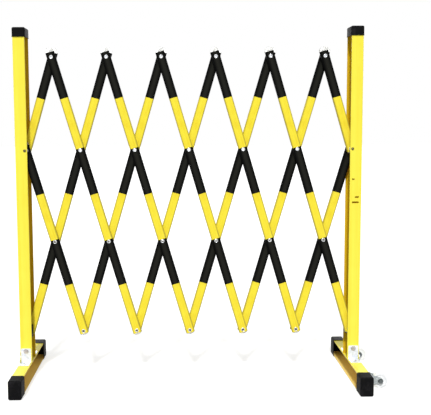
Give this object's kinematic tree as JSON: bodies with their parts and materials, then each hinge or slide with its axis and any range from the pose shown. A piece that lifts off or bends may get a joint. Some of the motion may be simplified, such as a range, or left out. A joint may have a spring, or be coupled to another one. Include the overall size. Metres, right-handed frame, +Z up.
{
  "type": "expandable safety barrier",
  "caption": "Free-standing expandable barrier: a scissor lattice of striped flat tubes between two posts on feet, with casters under one side.",
  "frame": {"origin": "on the floor, in the middle of the barrier's width and depth as it stands at rest", "axes": "+X along the barrier from the plain stand to the stand with casters, +Y from its front to its back, +Z up"},
  "size_m": [1.245, 0.407, 1.2],
  "materials": {
    "bar_laminate": "satin",
    "post_laminate": "satin",
    "black_moulding": "matte",
    "clear_moulding": "satin",
    "zinc_steel": "satin",
    "nylon": "satin"
  },
  "bodies": {
    "left_stand": {"left_post": "post_laminate", "left_post_cap": "black_moulding", "left_foot": "post_laminate", "left_foot_caps": "black_moulding", "left_foot_brackets": "zinc_steel", "left_bolts": "zinc_steel", "left_pivot_spacers": "nylon", "left_guide_rod": "zinc_steel"},
    "right_stand": {"right_post": "post_laminate", "right_post_cap": "black_moulding", "right_foot": "post_laminate", "right_foot_caps": "black_moulding", "right_foot_brackets": "zinc_steel", "right_bolts": "zinc_steel", "right_pivot_spacers": "nylon", "right_guide_rod": "zinc_steel", "caster_forks": "zinc_steel", "caster_bolts": "zinc_steel"},
    "left_slider": {"left_slide_block": "black_moulding", "left_slide_pin": "zinc_steel"},
    "right_slider": {"right_slide_block": "black_moulding", "right_slide_pin": "zinc_steel"},
    "front_wheel": {"front_wheel": "nylon"},
    "rear_wheel": {"rear_wheel": "nylon"},
    "front_link_1": {"front_bar_1": "bar_laminate", "front_plugs_1": "clear_moulding", "rivets_1": "zinc_steel"},
    "rear_link_1": {"rear_bar_1": "bar_laminate", "rear_plugs_1": "clear_moulding"},
    "front_link_2": {"front_bar_2": "bar_laminate", "front_plugs_2": "clear_moulding", "rivets_2": "zinc_steel"},
    "rear_link_2": {"rear_bar_2": "bar_laminate", "rear_plugs_2": "clear_moulding"},
    "front_link_3": {"front_bar_3": "bar_laminate", "front_plugs_3": "clear_moulding", "rivets_3": "zinc_steel"},
    "rear_link_3": {"rear_bar_3": "bar_laminate", "rear_plugs_3": "clear_moulding"},
    "front_link_4": {"front_bar_4": "bar_laminate", "front_plugs_4": "clear_moulding", "rivets_4": "zinc_steel"},
    "rear_link_4": {"rear_bar_4": "bar_laminate", "rear_plugs_4": "clear_moulding"},
    "front_link_5": {"front_bar_5": "bar_laminate", "front_plugs_5": "clear_moulding", "rivets_5": "zinc_steel"},
    "rear_link_5": {"rear_bar_5": "bar_laminate", "rear_plugs_5": "clear_moulding"},
    "front_link_6": {"front_bar_6": "bar_laminate", "front_plugs_6": "clear_moulding", "rivets_6": "zinc_steel"},
    "rear_link_6": {"rear_bar_6": "bar_laminate", "rear_plugs_6": "clear_moulding"},
    "front_link_7": {"front_bar_7": "bar_laminate", "front_plugs_7": "clear_moulding", "rivets_7": "zinc_steel"},
    "rear_link_7": {"rear_bar_7": "bar_laminate", "rear_plugs_7": "clear_moulding"}
  },
  "joints": [
    {"name": "lattice_spread", "type": "hinge", "parent": "left_stand", "child": "front_link_1", "pos_m": [-0.5825, 0, 0.79], "axis": [0, -1, 0], "range_deg": [-12.89, 22.11]},
    {"name": "rear_link_1_pivot", "type": "hinge", "parent": "left_stand", "child": "rear_link_1", "pos_m": [-0.5825, 0, 0.79], "axis": [0, -1, 0], "range_deg": [-22.13, 12.91]},
    {"name": "rear_link_2_pivot", "type": "hinge", "parent": "front_link_1", "child": "rear_link_2", "pos_m": [-0.4905, 0, 0.47725], "axis": [0, -1, 0], "range_deg": [-44.24, 25.8]},
    {"name": "rear_link_3_pivot", "type": "hinge", "parent": "front_link_1", "child": "rear_link_3", "pos_m": [-0.3985, 0, 0.1645], "axis": [0, -1, 0], "range_deg": [-44.24, 25.8]},
    {"name": "front_link_2_pivot", "type": "hinge", "parent": "rear_link_2", "child": "front_link_2", "pos_m": [-0.3985, 0, 0.79], "axis": [0, -1, 0], "range_deg": [-25.8, 44.24]},
    {"name": "front_link_3_pivot", "type": "hinge", "parent": "rear_link_2", "child": "front_link_3", "pos_m": [-0.3065, 0, 1.10275], "axis": [0, -1, 0], "range_deg": [-25.8, 44.24]},
    {"name": "left_slider_pivot", "type": "hinge", "parent": "rear_link_2", "child": "left_slider", "pos_m": [-0.5825, 0, 0.1645], "axis": [0, -1, 0], "range_deg": [-12.91, 22.13]},
    {"name": "front_link_4_pivot", "type": "hinge", "parent": "rear_link_3", "child": "front_link_4", "pos_m": [-0.1225, 0, 1.10275], "axis": [0, -1, 0], "range_deg": [-25.8, 44.24]},
    {"name": "rear_link_4_pivot", "type": "hinge", "parent": "front_link_4", "child": "rear_link_4", "pos_m": [-0.0305, 0, 0.79], "axis": [0, -1, 0], "range_deg": [-44.24, 25.8]},
    {"name": "rear_link_5_pivot", "type": "hinge", "parent": "front_link_4", "child": "rear_link_5", "pos_m": [0.0615, 0, 0.47725], "axis": [0, -1, 0], "range_deg": [-44.24, 25.8]},
    {"name": "rear_link_6_pivot", "type": "hinge", "parent": "front_link_4", "child": "rear_link_6", "pos_m": [0.1535, 0, 0.1645], "axis": [0, -1, 0], "range_deg": [-44.24, 25.8]},
    {"name": "front_link_5_pivot", "type": "hinge", "parent": "rear_link_6", "child": "front_link_5", "pos_m": [0.2455, 0, 0.47725], "axis": [0, -1, 0], "range_deg": [-25.8, 44.24]},
    {"name": "front_link_6_pivot", "type": "hinge", "parent": "rear_link_6", "child": "front_link_6", "pos_m": [0.3375, 0, 0.79], "axis": [0, -1, 0], "range_deg": [-25.8, 44.24]},
    {"name": "front_link_7_pivot", "type": "hinge", "parent": "rear_link_6", "child": "front_link_7", "pos_m": [0.4295, 0, 1.10275], "axis": [0, -1, 0], "range_deg": [-25.8, 44.24]},
    {"name": "right_slider_pivot", "type": "hinge", "parent": "front_link_6", "child": "right_slider", "pos_m": [0.5215, 0, 0.1645], "axis": [0, -1, 0], "range_deg": [-22.13, 12.91]},
    {"name": "right_stand_pivot", "type": "hinge", "parent": "front_link_7", "child": "right_stand", "pos_m": [0.5215, 0, 0.79], "axis": [0, -1, 0], "range_deg": [-22.13, 12.91]},
    {"name": "rear_link_7_pivot", "type": "hinge", "parent": "right_stand", "child": "rear_link_7", "pos_m": [0.5215, 0, 0.79], "axis": [0, -1, 0], "range_deg": [-22.13, 12.91]},
    {"name": "front_wheel_turn", "type": "hinge", "parent": "right_stand", "child": "front_wheel", "pos_m": [0.5975, -0.123, 0.025], "axis": [0, 1, 0], "continuous": true},
    {"name": "rear_wheel_turn", "type": "hinge", "parent": "right_stand", "child": "rear_wheel", "pos_m": [0.5975, 0.123, 0.025], "axis": [0, 1, 0], "continuous": true}
  ],
  "couplings": [
    {"joint": "rear_link_1_pivot", "follows": "lattice_spread", "ratio": -1},
    {"joint": "rear_link_2_pivot", "follows": "lattice_spread", "ratio": -2},
    {"joint": "rear_link_3_pivot", "follows": "lattice_spread", "ratio": -2},
    {"joint": "front_link_2_pivot", "follows": "lattice_spread", "ratio": 2},
    {"joint": "front_link_3_pivot", "follows": "lattice_spread", "ratio": 2},
    {"joint": "left_slider_pivot", "follows": "lattice_spread", "ratio": 1},
    {"joint": "front_link_4_pivot", "follows": "lattice_spread", "ratio": 2},
    {"joint": "rear_link_4_pivot", "follows": "lattice_spread", "ratio": -2},
    {"joint": "rear_link_5_pivot", "follows": "lattice_spread", "ratio": -2},
    {"joint": "rear_link_6_pivot", "follows": "lattice_spread", "ratio": -2},
    {"joint": "front_link_5_pivot", "follows": "lattice_spread", "ratio": 2},
    {"joint": "front_link_6_pivot", "follows": "lattice_spread", "ratio": 2},
    {"joint": "front_link_7_pivot", "follows": "lattice_spread", "ratio": 2},
    {"joint": "right_slider_pivot", "follows": "lattice_spread", "ratio": -1},
    {"joint": "right_stand_pivot", "follows": "lattice_spread", "ratio": -1},
    {"joint": "rear_link_7_pivot", "follows": "lattice_spread", "ratio": -1}
  ]
}
